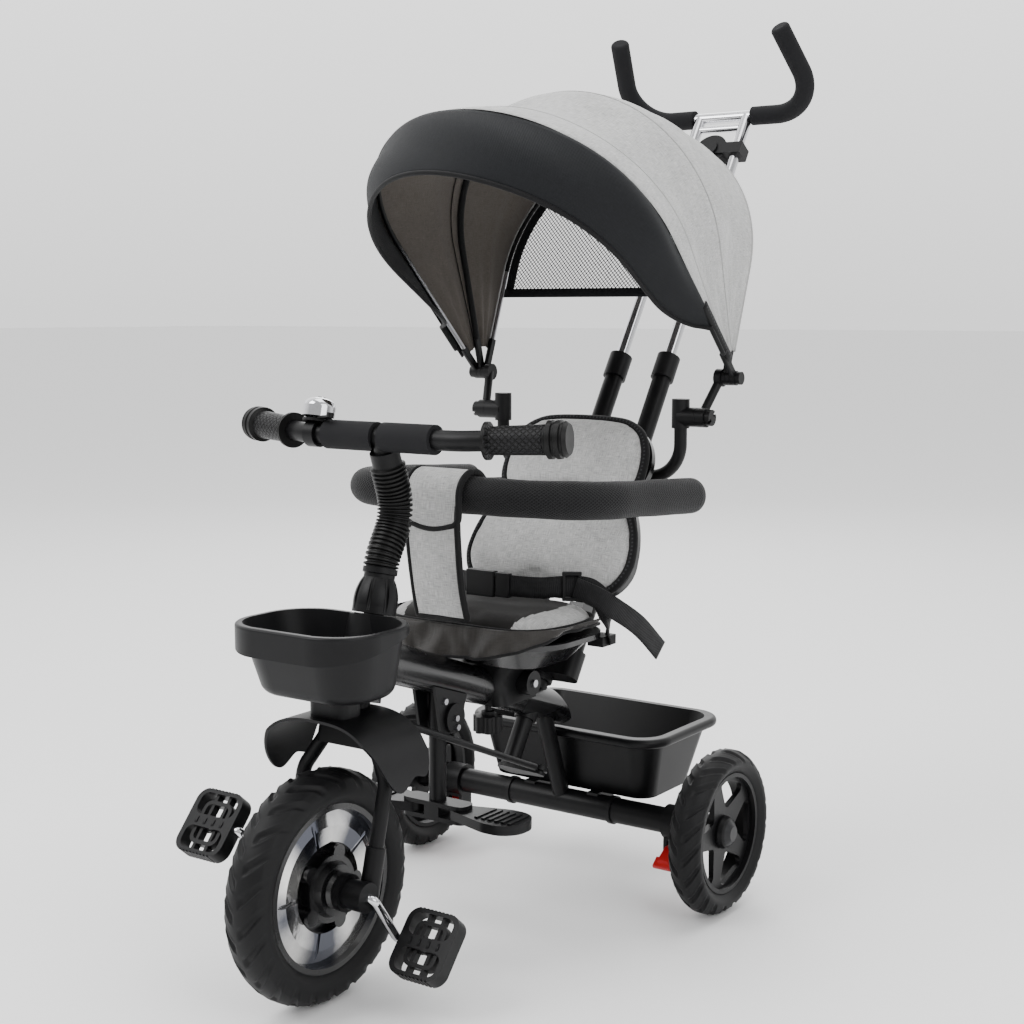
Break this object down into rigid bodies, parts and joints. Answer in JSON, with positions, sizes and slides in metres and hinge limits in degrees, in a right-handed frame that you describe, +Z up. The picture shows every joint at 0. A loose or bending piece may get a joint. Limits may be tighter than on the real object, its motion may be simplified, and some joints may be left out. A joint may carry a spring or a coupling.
{
  "type": "children's push tricycle",
  "caption": "Child's tricycle with padded seat, guard bar, folding fabric canopy, parent push handle linked to the steering, baskets, foot brakes and swing-out footrests.",
  "frame": {"origin": "on the floor below the middle of the rear axle", "axes": "+X to the rider's left, -Y forward, +Z up"},
  "size_m": [0.4942, 1.022, 1.1089],
  "materials": {
    "gloss_black": "gloss",
    "black_plastic": "matte",
    "shell_plastic": "gloss",
    "basket_plastic": "matte",
    "chrome": "polished",
    "steel": "satin",
    "tyre": "matte",
    "lens": "smoky",
    "foam": "matte",
    "rubber": "matte",
    "grey_fabric": "melange weave",
    "black_fabric": "plain weave",
    "red_plastic": "satin",
    "dark_fabric": "plain weave"
  },
  "bodies": {
    "frame": {"main_beam": "gloss_black", "rear_axle_frame": "gloss_black", "axle_rod": "steel", "axle_fittings": "black_plastic", "frame_bushes": "black_plastic", "seat_bracket": "black_plastic", "footrest_post": "black_plastic", "frame_bolts": "steel", "seat_shell": "shell_plastic", "seat_pad": "dark_fabric", "seat_skirt": "grey_fabric", "backrest_shell": "shell_plastic", "backrest_pad": "grey_fabric", "canopy_support_tube": "gloss_black", "canopy_clamps": "black_plastic", "guard_tube": "gloss_black", "guard_foam": "foam", "crotch_panel": "grey_fabric", "belt_webbing": "black_fabric", "belt_hardware": "black_plastic", "rear_basket": "shell_plastic"},
    "seat_knob": {"seat_knob": "black_plastic"},
    "steering": {"fork": "gloss_black", "fork_dropouts": "black_plastic", "mudguard": "basket_plastic", "front_basket": "basket_plastic", "stem_tube": "gloss_black", "stem_cap": "black_plastic", "bellows": "rubber", "handlebar_tube": "gloss_black", "bar_pads": "foam", "bar_grips": "black_plastic", "bell": "chrome"},
    "bell_lever": {"bell_lever": "black_plastic"},
    "link": {"link_rod": "black_plastic"},
    "front_wheel": {"front_tyre": "tyre", "front_rim": "black_plastic", "wheel_lenses": "lens", "crank": "chrome"},
    "left_pedal": {"left_pedal": "black_plastic"},
    "right_pedal": {"right_pedal": "black_plastic"},
    "left_rear_wheel": {"left_rear_tyre": "tyre", "left_rear_rim": "black_plastic"},
    "right_rear_wheel": {"right_rear_tyre": "tyre", "right_rear_rim": "black_plastic"},
    "left_brake": {"left_brake_lever": "red_plastic"},
    "right_brake": {"right_brake_lever": "red_plastic"},
    "left_footrest": {"left_footrest": "black_plastic"},
    "right_footrest": {"right_footrest": "black_plastic"},
    "push_swivel": {"push_yoke": "black_plastic", "push_tubes": "gloss_black"},
    "push_handle": {"push_frame": "chrome", "push_grips": "foam", "push_spacer": "black_plastic"},
    "canopy": {"canopy_arms": "steel", "canopy_cover": "grey_fabric", "canopy_window": "black_fabric"},
    "mid_bow": {"mid_bow": "steel"},
    "front_bow": {"front_bow": "steel", "canopy_visor": "black_fabric"}
  },
  "joints": [
    {"name": "steering_turn", "type": "hinge", "parent": "frame", "child": "steering", "pos_m": [0, -0.44871, 0.11945], "axis": [0, 0.2521, 0.9677], "range_deg": [-22, 22]},
    {"name": "front_wheel_spin", "type": "hinge", "parent": "steering", "child": "front_wheel", "pos_m": [0, -0.47, 0.125], "axis": [1, 0, 0], "continuous": true},
    {"name": "left_pedal_spin", "type": "hinge", "parent": "front_wheel", "child": "left_pedal", "pos_m": [0.1115, -0.43151, 0.07064], "axis": [1, 0, 0], "continuous": true},
    {"name": "right_pedal_spin", "type": "hinge", "parent": "front_wheel", "child": "right_pedal", "pos_m": [-0.1115, -0.50848, 0.17935], "axis": [1, 0, 0], "continuous": true},
    {"name": "left_rear_spin", "type": "hinge", "parent": "frame", "child": "left_rear_wheel", "pos_m": [0.226, 0, 0.1], "axis": [1, 0, 0], "continuous": true},
    {"name": "right_rear_spin", "type": "hinge", "parent": "frame", "child": "right_rear_wheel", "pos_m": [-0.226, 0, 0.1], "axis": [1, 0, 0], "continuous": true},
    {"name": "seat_knob_turn", "type": "hinge", "parent": "frame", "child": "seat_knob", "pos_m": [0, -0.165, 0.236], "axis": [0, 0, 1], "continuous": true},
    {"name": "left_brake_press", "type": "hinge", "parent": "frame", "child": "left_brake", "pos_m": [0.168, 0, 0.069], "axis": [1, 0, 0], "range_deg": [0, 20]},
    {"name": "right_brake_press", "type": "hinge", "parent": "frame", "child": "right_brake", "pos_m": [-0.168, 0, 0.069], "axis": [1, 0, 0], "range_deg": [0, 20]},
    {"name": "left_footrest_fold", "type": "hinge", "parent": "frame", "child": "left_footrest", "pos_m": [0.034, -0.264, 0.156], "axis": [0, 0, 1], "range_deg": [0, 85]},
    {"name": "right_footrest_fold", "type": "hinge", "parent": "frame", "child": "right_footrest", "pos_m": [-0.034, -0.264, 0.156], "axis": [0, 0, -1], "range_deg": [0, 85]},
    {"name": "push_swivel_turn", "type": "hinge", "parent": "frame", "child": "push_swivel", "pos_m": [0, -0.07272, 0.24621], "axis": [0, 0.5432, 0.8396], "range_deg": [-16, 16]},
    {"name": "link_swing", "type": "hinge", "parent": "push_swivel", "child": "link", "pos_m": [0.045, -0.11835, 0.17569], "axis": [0, 0.5432, 0.8396], "range_deg": [-20, 20]},
    {"name": "push_slide", "type": "slide", "parent": "push_swivel", "child": "push_handle", "axis": [0, 0.5432, 0.8396], "range_m": [-0.13, 0.06]},
    {"name": "bell_lever_press", "type": "hinge", "parent": "steering", "child": "bell_lever", "pos_m": [-0.081, -0.36483, 0.60809], "axis": [0, -0.2521, -0.9677], "range_deg": [0, 20], "stiffness_Nm_per_rad": 0.02},
    {"name": "canopy_tilt", "type": "hinge", "parent": "frame", "child": "canopy", "pos_m": [0, 0.057, 0.596], "axis": [1, 0, 0], "range_deg": [-8, 15]},
    {"name": "canopy_fold", "type": "hinge", "parent": "canopy", "child": "front_bow", "pos_m": [0, 0.083, 0.644], "axis": [-1, 0, 0], "range_deg": [0, 56], "deforming": ["canopy_cover"]},
    {"name": "mid_bow_fold", "type": "hinge", "parent": "canopy", "child": "mid_bow", "pos_m": [0, 0.083, 0.644], "axis": [-1, 0, 0], "range_deg": [0, 31]}
  ],
  "couplings": [
    {"joint": "push_swivel_turn", "follows": "steering_turn", "ratio": 0.66},
    {"joint": "link_swing", "follows": "steering_turn", "ratio": -0.77},
    {"joint": "mid_bow_fold", "follows": "canopy_fold", "ratio": 0.536}
  ]
}
